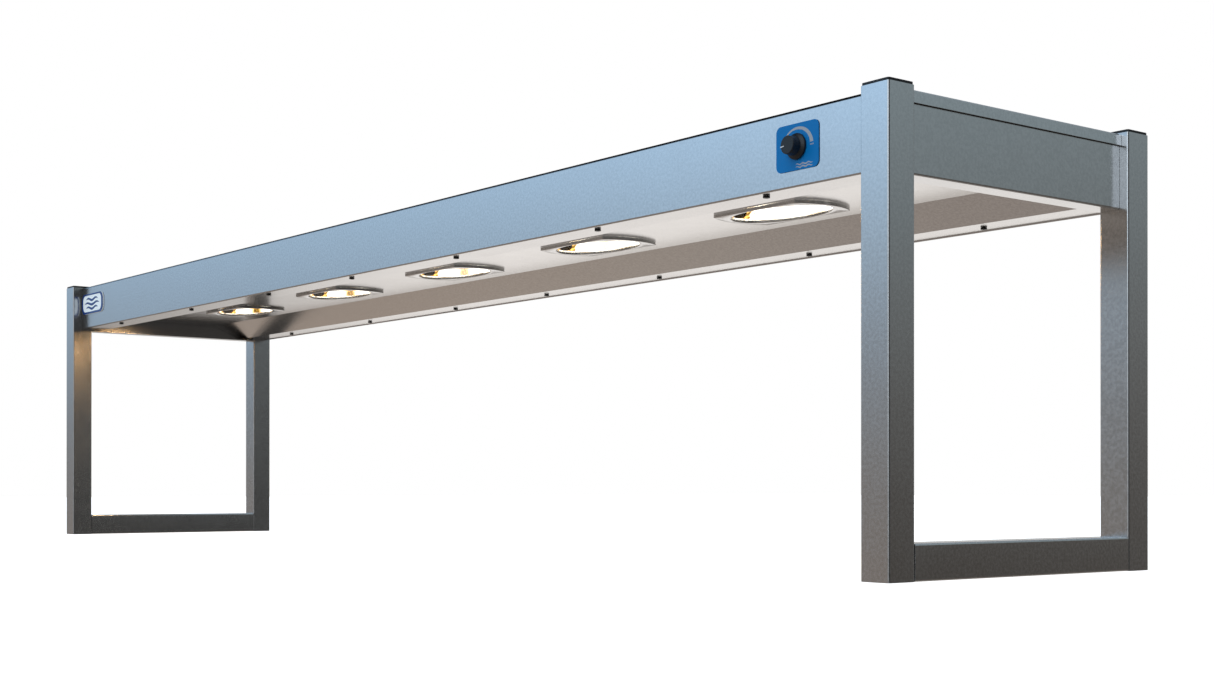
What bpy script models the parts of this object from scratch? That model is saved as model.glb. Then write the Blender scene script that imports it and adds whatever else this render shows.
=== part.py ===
"""Heated gantry: a free-standing stainless bridge with five halogen lamps in its underside.

Metres, +Z up. The origin is on the surface the gantry stands on, in the middle of the four legs.
+X is to the right and -Y to the front, as a person facing the dimmer knob sees it.
"""

import math

import bmesh
import bpy
from mathutils import Matrix, Vector

# ---------------------------------------------------------------------------------------------
# Driving dimensions
# ---------------------------------------------------------------------------------------------
GAP = 0.0003                # air between two pieces that rest on each other
SHEET = 0.0012              # stainless sheet of the housing

LENGTH = 2.024              # over the legs, left to right
DEPTH = 0.394               # over the legs, front to back
TUBE = 0.035                # square tube of the legs and base rails
TUBE_WALL = 0.0015
TUBE_RADIUS = 0.0022        # rounded edges of the square tube
LEG_TOP = 0.451             # sawn end of the leg tube

CAP_PLATE = 0.0335          # black cap, a little smaller than the tube
CAP_TOP = 0.4538
CAP_PLUG_DEPTH = 0.016
FOOT_PLUG_DEPTH = 0.014

# The housing hangs between the legs. It sits slightly further back than the legs do.
PANEL_FRONT = -0.182        # outer face of the front panel
PANEL_REAR = 0.1905         # outer face of the rear panel
PANEL_TOP = 0.4496
PANEL_BOTTOM = 0.3748
TOP_BEND = 0.0026           # radius of the sheet's middle in the top bend
HEM_BEND = 0.0012           # radius of the sheet's middle in the hem along the bottom
PANEL_LIP = 0.030           # inward lips of the front and rear panels
LIP_STEP = 0.0082           # flat part of the top before the lip steps down for the cover

END_PANEL_X = 1.0015        # outer face of an end panel
END_PANEL_BOTTOM = 0.372
END_BEND = 0.0014
COVER_X = 1.0036            # outer face of the top cover's end flange, at its bend
COVER_FLANGE = 0.0119       # how far the cover's ends fold down over the end panels
COVER_SPLAY = 0.0006        # how far a flange's lower edge stands out past its bend
COVER_BEND = 0.0014

# Lamp tray: a flat panel that carries the lamps, and two sides that slope down to flanges.
TRAY_Z = 0.3762             # underside of the tray's flanges
TRAY_PANEL_Z = 0.3982       # underside of its lamp panel
TRAY_HALF_MOUTH = 0.141     # from the tray's middle to the foot of a sloping side
TRAY_HALF_PANEL = 0.084     # from the tray's middle to the head of a sloping side
TRAY_UPSTAND = 0.011        # height of the edges that join the tray's three sheets
TRAY_END_X = 0.9995

SCREW_XS = (-0.830, -0.537, -0.262, -0.011, 0.254, 0.5455, 0.820)
SCREW_FRONT_Y = -0.165
SCREW_REAR_Y = 0.168
SCREW_SHANK_R = 0.002
SCREW_HEAD_R = 0.0036
SCREW_HEAD = 0.0021
NUT_STRIP_WIDTH = 0.012
NUT_STRIP_THICKNESS = 0.0025

LAMP_COUNT = 5
LAMP_PITCH = 0.3388
LAMP_MIDDLE_X = -0.0128     # the row of lamps stands a little away from the dimmer's end
BEZEL_R = 0.0785            # the bezel is a disc with its front and rear sides cut straight
BEZEL_HALF_DEPTH = 0.043
BEZEL_THICKNESS = 0.0037
BEZEL_MOUTH = (0.0712, 0.0403)      # half length and half depth of the oval mouth
GLASS_SIZE = (0.0709, 0.0400)
GLASS_INSET = 0.001         # the glass sits in the bezel's mouth, this far above its underside
GLASS_THICKNESS = 0.0027
TRAY_HOLE = (0.0722, 0.0415)
REFLECTOR_SQUASH = 0.594    # the reflector is a bowl turned round, then narrowed front to back
REFLECTOR_SHEET = 0.0008
HALOGEN_Z = 0.421
HALOGEN_HALF_LENGTH = 0.0575
HALOGEN_R = 0.005
SOCKET_INNER_X = 0.0578
BRACKET_X = 0.0880

# Dimmer
KNOB_X = 0.8816
KNOB_Z = 0.4132
DIAL_SIZE = (0.0577, 0.0450)
DIAL_CORNER = 0.0062
DIAL_THICKNESS = 0.0006
KNOB_FRONT = -0.1969        # the knob's face lies flush with the front of the legs
KNOB_SKIRT_R = 0.0127
KNOB_BODY_R = 0.0093
KNOB_FACE_R = 0.0089
SHAFT_R = 0.003
BUSHING_R = 0.0047
POINTER_TILT = math.radians(-8.8)   # at rest the pointer is a little below nine o'clock

BADGE_SIZE = (0.0990, 0.0360)
BADGE_CENTRE = (-0.91975, 0.4177)
BADGE_CORNER = 0.013
BADGE_THICKNESS = 0.001

GROMMET_X = 0.920
GROMMET_Z = 0.432

# Values that follow from the ones above
HALF_LENGTH = LENGTH / 2
HALF_DEPTH = DEPTH / 2
LEG_X = HALF_LENGTH - TUBE / 2
LEG_Y = HALF_DEPTH - TUBE / 2
BETWEEN_LEGS_X = HALF_LENGTH - TUBE     # inner faces of the legs
BETWEEN_LEGS_Y = HALF_DEPTH - TUBE
HOUSING_Y = (PANEL_FRONT + PANEL_REAR) / 2
TRAY_TOP = TRAY_PANEL_Z + SHEET
LAMP_XS = [LAMP_MIDDLE_X + (i - (LAMP_COUNT - 1) / 2) * LAMP_PITCH for i in range(LAMP_COUNT)]


# ---------------------------------------------------------------------------------------------
# Scene and materials
# ---------------------------------------------------------------------------------------------
for old in list(bpy.data.objects):
    bpy.data.objects.remove(old, do_unlink=True)

parts = bpy.data.collections.new("heated_gantry")
cutters = bpy.data.collections.new("cutters")
bpy.context.scene.collection.children.link(parts)
bpy.context.scene.collection.children.link(cutters)


def material(name, colour, roughness, metallic=0.0):
    made = bpy.data.materials.new(name)
    made.use_nodes = True
    shader = made.node_tree.nodes["Principled BSDF"]
    shader.inputs["Base Color"].default_value = (*colour, 1.0)
    shader.inputs["Roughness"].default_value = roughness
    shader.inputs["Metallic"].default_value = metallic
    made.diffuse_color = (*colour, 1.0)
    return made


STEEL = material("satin_stainless", (0.56, 0.57, 0.58), 0.28, 1.0)
TRAY_STEEL = material("tray_stainless", (0.62, 0.61, 0.60), 0.24, 1.0)
CHROME = material("bezel_steel", (0.60, 0.60, 0.60), 0.18, 1.0)
REFLECTOR = material("reflector_aluminium", (0.92, 0.88, 0.80), 0.12, 1.0)
BLACK_PLASTIC = material("black_plastic", (0.012, 0.012, 0.013), 0.42)
KNOB_BLACK = material("knob_black", (0.014, 0.015, 0.018), 0.38)
BLACK_STEEL = material("black_steel", (0.015, 0.015, 0.016), 0.35, 0.6)
GLASS = material("lamp_glass", (0.95, 0.97, 0.98), 0.05)
QUARTZ = material("halogen_quartz", (1.0, 0.86, 0.58), 0.08)
CERAMIC = material("ceramic", (0.82, 0.80, 0.75), 0.55)
BLUE_PRINT = material("blue_dial_film", (0.012, 0.175, 0.49), 0.35)
WHITE_PAINT = material("white_pointer", (0.80, 0.81, 0.82), 0.45)
BADGE_WHITE = material("badge_enamel", (0.72, 0.82, 0.92), 0.30)
BRASS = material("plated_brass", (0.60, 0.56, 0.46), 0.30, 1.0)
RUBBER = material("black_rubber", (0.018, 0.018, 0.018), 0.70)
GREY_PLASTIC = material("grey_plastic", (0.30, 0.31, 0.32), 0.50)
RED_SILICONE = material("silicone_sleeve", (0.36, 0.05, 0.03), 0.55)


# ---------------------------------------------------------------------------------------------
# Modelling helpers
# ---------------------------------------------------------------------------------------------
def add_object(name, mesh, paint=None):
    """Link a mesh or curve as a part, or as a hidden cutter where no material is given."""
    made = bpy.data.objects.new(name, mesh)
    if paint is None:
        cutters.objects.link(made)
        made.hide_render = True
        made.display_type = "WIRE"
    else:
        parts.objects.link(made)
        mesh.materials.append(paint)
    return made


def mesh_from(name, build):
    """Fill a new mesh through a bmesh that the given function edits."""
    mesh = bpy.data.meshes.new(name)
    bm = bmesh.new()
    build(bm)
    bmesh.ops.recalc_face_normals(bm, faces=bm.faces)
    bm.to_mesh(mesh)
    bm.free()
    return mesh


def box_between(bm, low, high):
    low = Vector(low)
    high = Vector(high)
    place = Matrix.Translation((low + high) / 2) @ Matrix.Diagonal((*(high - low), 1.0))
    return bmesh.ops.create_cube(bm, size=1.0, matrix=place)["verts"]


def box(name, low, high, paint=None):
    return add_object(name, mesh_from(name, lambda bm: box_between(bm, low, high)), paint)


def oval_disc(name, centre, half_x, half_y, thickness, segments, paint=None):
    """An upright disc from centre upward, round or oval."""
    place = Matrix.Translation((centre[0], centre[1], centre[2] + thickness / 2))
    place = place @ Matrix.Diagonal((half_x, half_y, 1.0, 1.0))

    def build(bm):
        bmesh.ops.create_cone(bm, cap_ends=True, segments=segments, radius1=1.0, radius2=1.0,
                              depth=thickness, matrix=place)

    return add_object(name, mesh_from(name, build), paint)


def cylinder_y(name, x, z, y_low, y_high, radius, segments, paint=None):
    """A round bar that lies along Y."""
    place = Matrix.Translation((x, (y_low + y_high) / 2, z)) @ Matrix.Rotation(math.pi / 2, 4, "X")

    def build(bm):
        bmesh.ops.create_cone(bm, cap_ends=True, segments=segments, radius1=radius, radius2=radius,
                              depth=y_high - y_low, matrix=place)

    return add_object(name, mesh_from(name, build), paint)


def bevel_edges(part, width, segments, along):
    """Round the edges that run along one axis, directly in the mesh."""
    bm = bmesh.new()
    bm.from_mesh(part.data)
    axis = Vector(along)
    chosen = [e for e in bm.edges
              if abs((e.verts[1].co - e.verts[0].co).normalized().dot(axis)) > 0.999]
    bmesh.ops.bevel(bm, geom=chosen, offset=width, segments=segments, profile=0.5, affect="EDGES")
    bm.to_mesh(part.data)
    bm.free()


def boolean(part, cutter, operation):
    change = part.modifiers.new(operation.lower(), "BOOLEAN")
    change.operation = operation
    change.solver = "EXACT"
    change.object = cutter


def cut(part, cutter):
    boolean(part, cutter, "DIFFERENCE")


def join(part, other):
    """Unite another solid with the part. The other one becomes a hidden helper."""
    boolean(part, other, "UNION")


def arc(centre, radius, start, end, steps):
    """Points of a bend, in degrees, from start to end."""
    points = []
    for i in range(steps + 1):
        angle = math.radians(start + (end - start) * i / steps)
        points.append((centre[0] + radius * math.cos(angle), centre[1] + radius * math.sin(angle)))
    return points


def folded_sheet(name, profile, to_3d, sweep, thickness, paint):
    """A sheet folded along a profile: an open ribbon swept straight, thickened both ways."""

    def build(bm):
        row = [bm.verts.new(to_3d(*point)) for point in profile]
        edges = [bm.edges.new(pair) for pair in zip(row, row[1:])]
        swept = bmesh.ops.extrude_edge_only(bm, edges=edges)["geom"]
        bmesh.ops.translate(bm, vec=sweep, verts=[g for g in swept if isinstance(g, bmesh.types.BMVert)])

    part = add_object(name, mesh_from(name, build), paint)
    solid = part.modifiers.new("sheet", "SOLIDIFY")
    solid.thickness = thickness
    solid.offset = 0.0
    solid.use_even_offset = True
    return part


def rounded_plate(name, x, z, size, corner, y_low, y_high, paint):
    """A flat plate in the XZ plane with rounded corners, from a filled outline."""
    curve = bpy.data.curves.new(name, "CURVE")
    curve.dimensions = "2D"
    curve.fill_mode = "BOTH"
    curve.extrude = (y_high - y_low) / 2
    half_x = size[0] / 2 - corner
    half_z = size[1] / 2 - corner
    outline = []
    for sx, sz, start in ((1, 1, 0), (-1, 1, 90), (-1, -1, 180), (1, -1, 270)):
        outline += arc((sx * half_x, sz * half_z), corner, start, start + 90, 6)
    spline = curve.splines.new("POLY")
    spline.points.add(len(outline) - 1)
    for point, (px, pz) in zip(spline.points, outline):
        point.co = (px, pz, 0.0, 1.0)
    spline.use_cyclic_u = True
    flat = add_object(name + "_outline", curve)
    flat.matrix_world = Matrix.Translation((x, (y_low + y_high) / 2, z)) @ Matrix.Rotation(math.pi / 2, 4, "X")
    return as_mesh(flat, name, paint)


def as_mesh(curve_object, name, paint):
    """Turn a curve into a welded mesh part, in its place, and remove the curve."""
    bpy.context.view_layer.update()
    evaluated = curve_object.evaluated_get(bpy.context.evaluated_depsgraph_get())
    mesh = bpy.data.meshes.new_from_object(evaluated)
    bm = bmesh.new()
    bm.from_mesh(mesh)
    bmesh.ops.remove_doubles(bm, verts=bm.verts, dist=0.00001)
    bmesh.ops.recalc_face_normals(bm, faces=bm.faces)
    bm.to_mesh(mesh)
    bm.free()
    mesh.materials.clear()
    place = curve_object.matrix_world.copy()
    bpy.data.objects.remove(curve_object, do_unlink=True)
    made = add_object(name, mesh, paint)
    made.matrix_world = place
    return made


def turned(name, profile, segments, paint, place=None):
    """A turned solid: its profile runs down the outer side at +X, from the axis to the axis."""
    mesh = bpy.data.meshes.new(name)
    edges = [(i, i + 1) for i in range(len(profile) - 1)]
    mesh.from_pydata([(r, 0.0, z) for r, z in profile], edges, [])
    part = add_object(name, mesh, paint)
    lathe = part.modifiers.new("lathe", "SCREW")
    lathe.axis = "Z"
    lathe.steps = segments
    lathe.render_steps = segments
    lathe.use_merge_vertices = True
    lathe.merge_threshold = 0.00002
    lathe.use_smooth_shade = True
    if place is not None:
        part.matrix_world = place
    return part


def facing_front(x, y, z):
    """Place a turned piece with its top end towards the front."""
    return Matrix.Translation((x, y, z)) @ Matrix.Rotation(math.pi / 2, 4, "X")


# ---------------------------------------------------------------------------------------------
# End frames: legs, caps, foot plugs and base rails
# ---------------------------------------------------------------------------------------------
def square_tube(name, low, high, along, paint):
    """A square tube with rounded outer edges, bored from end to end."""
    tube = box(name, low, high, paint)
    bevel_edges(tube, TUBE_RADIUS, 3, along)
    axis = Vector(along)
    wall = Vector((TUBE_WALL,) * 3) - axis * (TUBE_WALL + 0.01)
    bore = box(name + "_bore", Vector(low) + wall, Vector(high) - wall)
    cut(tube, bore)
    return tube


def make_leg(side, x, y):
    half = TUBE / 2
    square_tube("leg_" + side, (x - half, y - half, 0.0), (x + half, y + half, LEG_TOP), (0, 0, 1), STEEL)

    plate = CAP_PLATE / 2
    cap = box("leg_cap_" + side, (x - plate, y - plate, LEG_TOP + GAP), (x + plate, y + plate, CAP_TOP),
              BLACK_PLASTIC)
    bevel_edges(cap, TUBE_RADIUS, 2, (0, 0, 1))
    plug = half - TUBE_WALL - GAP
    plug_box = box("leg_cap_plug_" + side, (x - plug, y - plug, LEG_TOP - CAP_PLUG_DEPTH),
                   (x + plug, y + plug, LEG_TOP + 2 * GAP))
    join(cap, plug_box)

    box("foot_plug_" + side, (x - plug, y - plug, 0.0005), (x + plug, y + plug, FOOT_PLUG_DEPTH),
        BLACK_PLASTIC)


def make_end_frames():
    for end, sx in (("right", 1), ("left", -1)):
        make_leg("front_" + end, sx * LEG_X, -LEG_Y)
        make_leg("rear_" + end, sx * LEG_X, LEG_Y)
        half = TUBE / 2
        inner = BETWEEN_LEGS_Y - GAP
        square_tube("base_rail_" + end, (sx * LEG_X - half, -inner, 0.0), (sx * LEG_X + half, inner, TUBE),
                    (0, 1, 0), STEEL)


# ---------------------------------------------------------------------------------------------
# Housing: front and rear panels, end panels and top cover
# ---------------------------------------------------------------------------------------------
def long_panel_profile():
    """Section of a long panel as (depth inward from its outer face, height), sheet middle.

    From the screw lip it drops to a rounded hem, rises as the face, bends over at the top and
    steps down to the lip that carries the cover.
    """
    mid = SHEET / 2
    lip_z = TRAY_Z + SHEET + GAP + mid
    hem_z = PANEL_BOTTOM + mid + HEM_BEND
    top_z = PANEL_TOP - mid
    cover_lip_z = top_z - SHEET - GAP
    inner_leaf = mid + 2 * HEM_BEND
    profile = [(PANEL_LIP, lip_z), (inner_leaf, lip_z), (inner_leaf, hem_z)]
    profile += arc((mid + HEM_BEND, hem_z), HEM_BEND, 0, -180, 6)[1:]
    profile += arc((mid + TOP_BEND, top_z - TOP_BEND), TOP_BEND, 180, 90, 5)
    profile += [(LIP_STEP - 0.0015, top_z), (LIP_STEP, cover_lip_z), (PANEL_LIP, cover_lip_z)]
    return profile


def make_long_panels():
    reach = BETWEEN_LEGS_X - GAP
    sweep = (2 * reach, 0.0, 0.0)
    profile = long_panel_profile()
    front = folded_sheet("front_panel", profile, lambda d, z: (-reach, PANEL_FRONT + d, z), sweep,
                         SHEET, STEEL)
    rear = folded_sheet("rear_panel", profile, lambda d, z: (-reach, PANEL_REAR - d, z), sweep,
                        SHEET, STEEL)
    cut(front, cylinder_y("bushing_hole", KNOB_X, KNOB_Z, PANEL_FRONT - 0.01, PANEL_FRONT + 0.01,
                          BUSHING_R + 0.0005, 24))
    cut(rear, cylinder_y("grommet_hole", GROMMET_X, GROMMET_Z, PANEL_REAR - 0.01, PANEL_REAR + 0.01,
                         0.0095, 24))
    cut(front, screw_hole_cutter("front_lip_holes", SCREW_FRONT_Y))
    cut(rear, screw_hole_cutter("rear_lip_holes", SCREW_REAR_Y))


def make_end_panels():
    """Channels between the legs: a web, and lips that run inward at the bottom and the top."""
    mid = SHEET / 2
    bottom = END_PANEL_BOTTOM + mid
    top = PANEL_TOP - SHEET - GAP - mid
    lip = END_PANEL_X - BETWEEN_LEGS_X
    profile = [(lip, bottom)]
    profile += arc((mid + END_BEND, bottom + END_BEND), END_BEND, -90, -180, 4)
    profile += arc((mid + END_BEND, top - END_BEND), END_BEND, 180, 90, 4)
    profile += [(lip, top)]
    reach = BETWEEN_LEGS_Y - GAP
    for end, sx in (("right", 1), ("left", -1)):
        folded_sheet("end_panel_" + end, profile,
                     lambda d, z, s=sx: (s * (END_PANEL_X - d), -reach, z),
                     (0.0, 2 * reach, 0.0), SHEET, STEEL)


def corner_cutter(name, z_low, z_high, x_clear, y_clear):
    """The four upright blocks that the legs occupy, with a little room around them."""

    def build(bm):
        for sx in (-1, 1):
            for sy in (-1, 1):
                x = sorted((sx * (BETWEEN_LEGS_X - x_clear), sx * (HALF_LENGTH + 0.02)))
                y = sorted((sy * (BETWEEN_LEGS_Y - y_clear), sy * (HALF_DEPTH + 0.02)))
                box_between(bm, (x[0], y[0], z_low), (x[1], y[1], z_high))

    return add_object(name, mesh_from(name, build))


def make_top_cover():
    """A flat lid whose ends fold down over the end panels, notched at the four legs."""
    mid = SHEET / 2
    top = PANEL_TOP - mid
    edge = COVER_X - mid
    side = [(-edge - COVER_SPLAY, top - COVER_FLANGE + mid)]
    side += arc((-edge + COVER_BEND, top - COVER_BEND), COVER_BEND, 180, 90, 4)
    profile = side + [(-x, z) for x, z in reversed(side)]
    front = PANEL_FRONT + LIP_STEP + GAP
    rear = PANEL_REAR - LIP_STEP - GAP
    cover = folded_sheet("top_cover", profile, lambda x, z: (x, front, z), (0.0, rear - front, 0.0),
                         SHEET, STEEL)
    cut(cover, corner_cutter("cover_notches", 0.40, 0.47, GAP, GAP))


# ---------------------------------------------------------------------------------------------
# Lamp tray and its screws
# ---------------------------------------------------------------------------------------------
def screw_hole_cutter(name, y):
    def build(bm):
        for x in SCREW_XS:
            bmesh.ops.create_cone(bm, cap_ends=True, segments=10, radius1=SCREW_SHANK_R + 0.0004,
                                  radius2=SCREW_SHANK_R + 0.0004, depth=0.008,
                                  matrix=Matrix.Translation((x, y, TRAY_Z + 0.001)))

    return add_object(name, mesh_from(name, build))


def make_lamp_tray():
    """A middle panel with the lamps, and a folded side to each side of it.

    Their edges stand up back to back and are riveted there, out of sight inside the housing.
    """
    mid = SHEET / 2
    seam = GAP / 2 + mid
    edge = TRAY_HALF_PANEL - seam
    upstand = TRAY_PANEL_Z + TRAY_UPSTAND
    profile = [(-edge, upstand), (-edge, TRAY_PANEL_Z + mid), (edge, TRAY_PANEL_Z + mid), (edge, upstand)]
    tray = folded_sheet("lamp_tray", profile, lambda d, z: (-TRAY_END_X, HOUSING_Y + d, z),
                        (2 * TRAY_END_X, 0.0, 0.0), SHEET, TRAY_STEEL)

    def holes(bm):
        for x in LAMP_XS:
            place = Matrix.Translation((x, HOUSING_Y, TRAY_PANEL_Z))
            place = place @ Matrix.Diagonal((TRAY_HOLE[0], TRAY_HOLE[1], 1.0, 1.0))
            bmesh.ops.create_cone(bm, cap_ends=True, segments=32, radius1=1.0, radius2=1.0,
                                  depth=0.02, matrix=place)

    cut(tray, add_object("tray_lamp_holes", mesh_from("tray_lamp_holes", holes)))

    slope = (TRAY_PANEL_Z - TRAY_Z) / (TRAY_HALF_MOUTH - TRAY_HALF_PANEL)
    head = TRAY_HALF_PANEL + seam
    head_z = TRAY_PANEL_Z + mid * (math.hypot(1.0, slope) - slope)
    mouth = TRAY_HALF_MOUTH + mid * (math.hypot(1.0, slope) - 1.0) / slope
    hem = SHEET + 2 * HEM_BEND + GAP
    for name, side, panel, screw_y in (("tray_side_front", -1, PANEL_FRONT + hem, SCREW_FRONT_Y),
                                       ("tray_side_rear", 1, PANEL_REAR - hem, SCREW_REAR_Y)):
        outer = abs(panel - HOUSING_Y)
        profile = [(outer, TRAY_Z + mid), (mouth, TRAY_Z + mid), (head, head_z), (head, upstand)]
        rail = folded_sheet(name, profile, lambda d, z, s=side: (-TRAY_END_X, HOUSING_Y + s * d, z),
                            (2 * TRAY_END_X, 0.0, 0.0), SHEET, TRAY_STEEL)
        cut(rail, corner_cutter(name + "_notches", 0.35, 0.42, GAP, GAP))
        cut(rail, screw_hole_cutter(name + "_holes", screw_y))


def make_screw_row(name, y):
    """One row of screws, all driven into the same nut strip behind the panel's lip."""
    strip_low = TRAY_Z + 2 * SHEET + 2 * GAP
    half_length = max(abs(x) for x in SCREW_XS) + 0.02
    strip = box(name, (-half_length, y - NUT_STRIP_WIDTH / 2, strip_low),
                (half_length, y + NUT_STRIP_WIDTH / 2, strip_low + NUT_STRIP_THICKNESS), BLACK_STEEL)
    head_top = TRAY_Z - GAP
    head_low = head_top - SCREW_HEAD

    def screws(bm):
        for x in SCREW_XS:
            shank = Matrix.Translation((x, y, (head_top + strip_low) / 2))
            bmesh.ops.create_cone(bm, cap_ends=True, segments=8, radius1=SCREW_SHANK_R,
                                  radius2=SCREW_SHANK_R, depth=strip_low - head_top + 0.0016, matrix=shank)

    def heads(bm):
        for x in SCREW_XS:
            crown = Matrix.Translation((x, y, (head_top + head_low) / 2))
            bmesh.ops.create_cone(bm, cap_ends=True, segments=14, radius1=SCREW_HEAD_R * 0.86,
                                  radius2=SCREW_HEAD_R, depth=SCREW_HEAD, matrix=crown)

    join(strip, add_object(name + "_shanks", mesh_from(name + "_shanks", screws)))
    join(strip, add_object(name + "_heads", mesh_from(name + "_heads", heads)))


# ---------------------------------------------------------------------------------------------
# Lamps: bezel, glass, reflector, halogen tube and its holder
# ---------------------------------------------------------------------------------------------
def make_bezel(number, x):
    top = TRAY_PANEL_Z - GAP
    bezel = oval_disc("bezel_%d" % number, (x, HOUSING_Y, top - BEZEL_THICKNESS), BEZEL_R, BEZEL_R,
                      BEZEL_THICKNESS, 48, CHROME)
    band = box("bezel_band_%d" % number, (x - 0.1, HOUSING_Y - BEZEL_HALF_DEPTH, top - 0.01),
               (x + 0.1, HOUSING_Y + BEZEL_HALF_DEPTH, top + 0.01))
    boolean(bezel, band, "INTERSECT")
    cut(bezel, oval_disc("bezel_mouth_%d" % number, (x, HOUSING_Y, top - 0.01), *BEZEL_MOUTH, 0.02, 40))


def make_glass(number, x):
    bottom = TRAY_PANEL_Z - GAP - BEZEL_THICKNESS + GLASS_INSET
    oval_disc("lamp_glass_%d" % number, (x, HOUSING_Y, bottom), *GLASS_SIZE, GLASS_THICKNESS, 32, GLASS)


def make_reflector(number, x):
    """A spun bowl with a flat rim on the tray, narrowed front to back, slotted for the sockets."""
    rim = TRAY_TOP + GAP + REFLECTOR_SHEET / 2 - HALOGEN_Z
    profile = [(0.0, 0.0172), (0.025, 0.0165), (0.044, 0.0120), (0.0590, 0.0000), (0.0680, -0.0130),
               (0.0722, rim), (0.0800, rim)]
    bowl = turned("reflector_%d" % number, profile, 24, REFLECTOR,
                  Matrix.Translation((x, HOUSING_Y, HALOGEN_Z)))
    narrowed = evaluated_mesh(bowl)
    narrowed.transform(Matrix.Diagonal((1.0, REFLECTOR_SQUASH, 1.0, 1.0)))
    bowl.modifiers.clear()
    bowl.data = narrowed
    sheet = bowl.modifiers.new("sheet", "SOLIDIFY")
    sheet.thickness = REFLECTOR_SHEET
    sheet.offset = 0.0
    slots = box("reflector_slots_%d" % number, (x - 0.085, HOUSING_Y - 0.0078, HALOGEN_Z - 0.0088),
                (x + 0.085, HOUSING_Y + 0.0078, HALOGEN_Z + 0.0088))
    keep = box("reflector_middle_%d" % number, (x - 0.052, HOUSING_Y - 0.02, HALOGEN_Z - 0.02),
               (x + 0.052, HOUSING_Y + 0.02, HALOGEN_Z + 0.02))
    cut(slots, keep)
    cut(bowl, slots)


def evaluated_mesh(part):
    bpy.context.view_layer.update()
    depsgraph = bpy.context.evaluated_depsgraph_get()
    return bpy.data.meshes.new_from_object(part.evaluated_get(depsgraph))


def make_halogen_tube(number, x):
    """A linear halogen lamp: a quartz tube with pinched necks, its ends in ceramic sleeves."""
    half = HALOGEN_HALF_LENGTH
    outer = [(0.0, half), (0.0026, half), (0.0034, half - 0.002), (0.0034, half - 0.014),
             (0.0022, half - 0.016), (HALOGEN_R, half - 0.021)]
    profile = outer + [(r, -z) for r, z in reversed(outer)]
    turned("halogen_tube_%d" % number, profile, 16, QUARTZ,
           Matrix.Translation((x, HOUSING_Y, HALOGEN_Z)) @ Matrix.Rotation(math.pi / 2, 4, "Y"))


def make_lamp_holder(number, x):
    """A strap over the reflector, with a socket at each end of the lamp and feet on the tray."""
    name = "lamp_holder_%d" % number
    strap_z = 0.4420
    foot_z = TRAY_TOP + GAP
    sheet = 0.0015
    half_width = 0.009
    half = [(BRACKET_X + 0.014, foot_z + sheet / 2), (BRACKET_X, foot_z + sheet / 2), (BRACKET_X, strap_z)]
    profile = half + [(-px, pz) for px, pz in reversed(half)]
    holder = folded_sheet(name, profile, lambda px, pz: (x + px, HOUSING_Y - half_width, pz),
                          (0.0, 2 * half_width, 0.0), sheet, CERAMIC)
    for side, sx in (("right", 1), ("left", -1)):
        ends = sorted((x + sx * SOCKET_INNER_X, x + sx * BRACKET_X))
        join(holder, box(name + "_socket_" + side, (ends[0], HOUSING_Y - 0.0070, HALOGEN_Z - 0.0080),
                         (ends[1], HOUSING_Y + 0.0070, HALOGEN_Z + 0.0080)))


# ---------------------------------------------------------------------------------------------
# Dimmer, badge and electrical parts
# ---------------------------------------------------------------------------------------------
def make_dimmer():
    plate_back = PANEL_FRONT - GAP
    plate_front = plate_back - DIAL_THICKNESS
    dial = rounded_plate("dial_plate", KNOB_X, KNOB_Z, DIAL_SIZE, DIAL_CORNER, plate_front, plate_back,
                         BLUE_PRINT)
    cut(dial, cylinder_y("dial_hole", KNOB_X, KNOB_Z, plate_front - 0.01, plate_back + 0.01,
                         BUSHING_R + 0.0005, 24))

    nut_back = plate_front - GAP
    nut_thickness = 0.0018
    nut = cylinder_y("dimmer_nut", KNOB_X, KNOB_Z, nut_back - nut_thickness, nut_back, 0.0078, 6, BRASS)
    cut(nut, cylinder_y("nut_bore", KNOB_X, KNOB_Z, nut_back - 0.01, nut_back + 0.01, BUSHING_R + GAP, 24))

    case_front = PANEL_FRONT + SHEET + 2 * GAP
    dimmer = box("dimmer_body", (KNOB_X - 0.023, case_front, KNOB_Z - 0.019),
                 (KNOB_X + 0.023, case_front + 0.032, KNOB_Z + 0.019), GREY_PLASTIC)
    bushing_front = nut_back - nut_thickness - 0.0008
    join(dimmer, cylinder_y("bushing", KNOB_X, KNOB_Z, bushing_front, case_front + 0.001, BUSHING_R, 24))
    cut(dimmer, cylinder_y("bushing_bore", KNOB_X, KNOB_Z, bushing_front - 0.01, case_front + 0.0102,
                           SHAFT_R + 0.00008, 32))

    shaft_front = KNOB_FRONT + 0.0034
    cylinder_y("dimmer_shaft", KNOB_X, KNOB_Z, shaft_front, case_front + 0.0100, SHAFT_R, 32, BRASS)
    make_knob(nut_back, bushing_front, shaft_front)


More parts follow.
